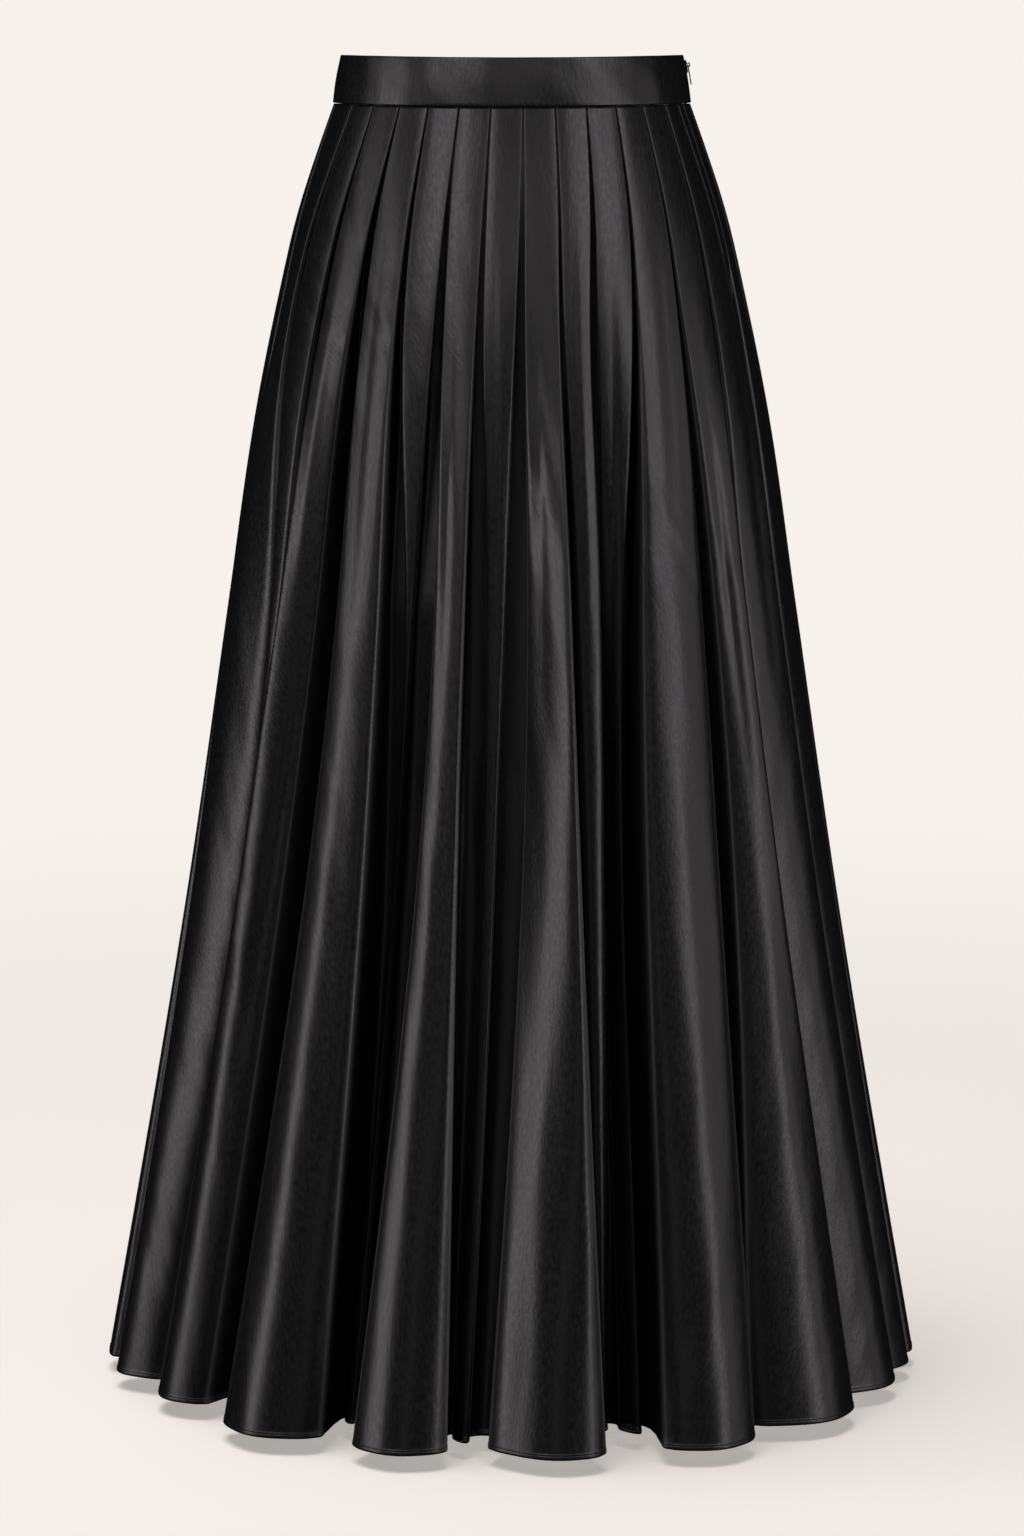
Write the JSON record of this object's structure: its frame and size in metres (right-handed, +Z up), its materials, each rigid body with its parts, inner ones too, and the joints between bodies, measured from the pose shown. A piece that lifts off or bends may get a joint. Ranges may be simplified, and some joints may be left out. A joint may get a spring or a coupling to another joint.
{
  "type": "pleated maxi skirt",
  "caption": "Long satin skirt in worn shape, open at waist and hem, with a plain waistband, inverted pleats that open into deep hanging folds, and a zip in one side seam.",
  "frame": {"origin": "middle of the waist opening, halfway up the waistband, where a wearer's waist holds the skirt", "axes": "+Z up out of the waist, -Y towards the front of the skirt, +X towards the side seam with the zip"},
  "size_m": [0.6159, 0.5191, 0.9797],
  "materials": {
    "satin": "smooth black satin with a soft sheen",
    "tape": "matt black woven tape",
    "metal": "black enamel, slightly worn at the edges"
  },
  "bodies": {
    "skirt": {"skirt_front": "satin", "skirt_back": "satin", "waistband_front": "satin", "waistband_back": "satin", "zip_tape_front": "tape", "zip_tape_back": "tape", "zip_slider": "metal", "zip_bottom_stop": "metal"},
    "pull_tab": {"zip_pull_tab": "metal"}
  },
  "joints": [
    {"name": "pull_tab_hinge", "type": "hinge", "parent": "skirt", "child": "pull_tab", "pos_m": [0.12795, 0, 0.01056], "axis": [0, -1, 0], "range_deg": [0, 155]}
  ]
}
